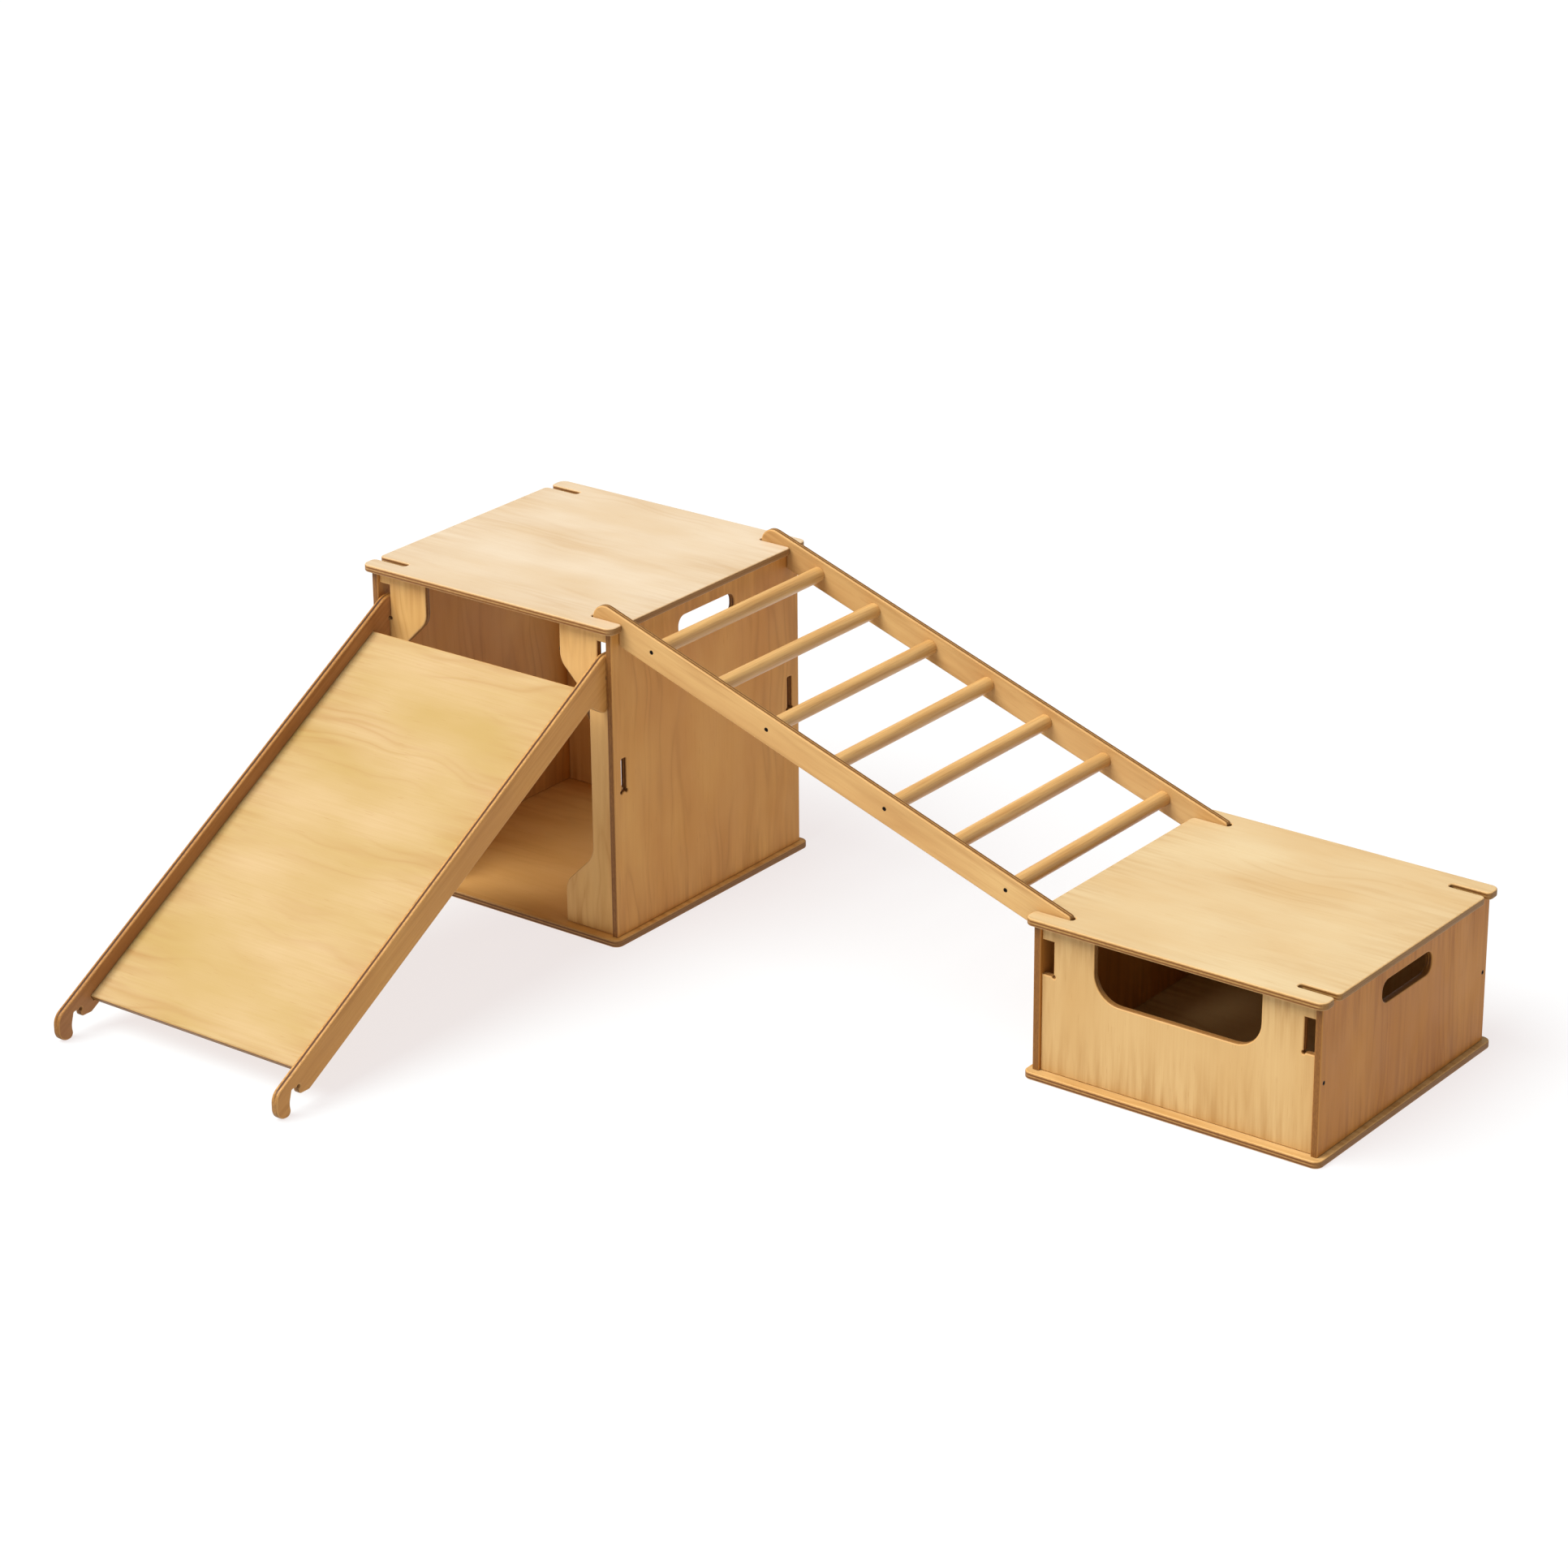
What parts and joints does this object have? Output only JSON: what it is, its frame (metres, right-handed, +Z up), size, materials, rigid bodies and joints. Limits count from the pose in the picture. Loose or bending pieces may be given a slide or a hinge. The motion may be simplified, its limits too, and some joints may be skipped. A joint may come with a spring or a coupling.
{
  "type": "toddler slide and climbing set",
  "caption": "Low plywood play set: a lift-off slide hooked on an open tower box, and a lift-off rung ladder laid between the tower and a lower box.",
  "frame": {"origin": "on the floor, at the middle of the whole set's footprint", "axes": "+Z up, +X from the tower along the ladder to the low box, -Y down the slide"},
  "size_m": [1.824, 1.2914, 0.5702],
  "materials": {
    "box_ply": "oiled birch plywood, satin",
    "rail_ply": "oiled birch plywood, satin",
    "bed_ply": "lacquered birch plywood, smooth",
    "rung_wood": "turned hardwood rod, oiled",
    "pin_wood": "bare beech dowel",
    "screw_steel": "dark countersunk screw"
  },
  "bodies": {
    "boxes": {"tower_base": "box_ply", "tower_top": "box_ply", "tower_side_left": "box_ply", "tower_side_right": "box_ply", "tower_post_front_left": "box_ply", "tower_post_front_right": "box_ply", "tower_post_back_left": "box_ply", "tower_post_back_right": "box_ply", "low_box_base": "box_ply", "low_box_top": "box_ply", "low_box_side_left": "box_ply", "low_box_side_right": "box_ply", "low_box_front": "box_ply", "low_box_back": "box_ply", "tower_pin_bottom_left_front": "pin_wood", "tower_pin_bottom_left_back": "pin_wood", "tower_pin_bottom_right_front": "pin_wood", "tower_pin_bottom_right_back": "pin_wood", "tower_pin_top_left_front": "pin_wood", "tower_pin_top_left_back": "pin_wood", "tower_pin_top_right_front": "pin_wood", "tower_pin_top_right_back": "pin_wood", "low_box_pin_bottom_left_front": "pin_wood", "low_box_pin_bottom_left_back": "pin_wood", "low_box_pin_bottom_right_front": "pin_wood", "low_box_pin_bottom_right_back": "pin_wood", "low_box_pin_top_left_front": "pin_wood", "low_box_pin_top_left_back": "pin_wood", "low_box_pin_top_right_front": "pin_wood", "low_box_pin_top_right_back": "pin_wood", "low_box_screw_front_left": "screw_steel", "low_box_screw_front_right": "screw_steel", "low_box_screw_back_left": "screw_steel", "low_box_screw_back_right": "screw_steel"},
    "ladder": {"ladder_rail_front": "rail_ply", "ladder_rail_back": "rail_ply", "ladder_rung_1": "rung_wood", "ladder_rung_2": "rung_wood", "ladder_rung_3": "rung_wood", "ladder_rung_4": "rung_wood", "ladder_rung_5": "rung_wood", "ladder_rung_6": "rung_wood", "ladder_rung_7": "rung_wood", "ladder_screw_front_1": "screw_steel", "ladder_screw_front_2": "screw_steel", "ladder_screw_front_3": "screw_steel", "ladder_screw_front_4": "screw_steel", "ladder_screw_back_1": "screw_steel", "ladder_screw_back_2": "screw_steel", "ladder_screw_back_3": "screw_steel", "ladder_screw_back_4": "screw_steel"},
    "slide": {"slide_rail_left": "rail_ply", "slide_rail_right": "rail_ply", "slide_batten_1": "rail_ply", "slide_batten_2": "rail_ply", "slide_bed": "bed_ply"}
  },
  "joints": [
    {"name": "ladder_lift", "type": "slide", "parent": "boxes", "child": "ladder", "axis": [0, 0, 1], "range_m": [0, 0.1]},
    {"name": "slide_lift", "type": "slide", "parent": "boxes", "child": "slide", "axis": [0, 0, 1], "range_m": [0, 0.0175]}
  ]
}
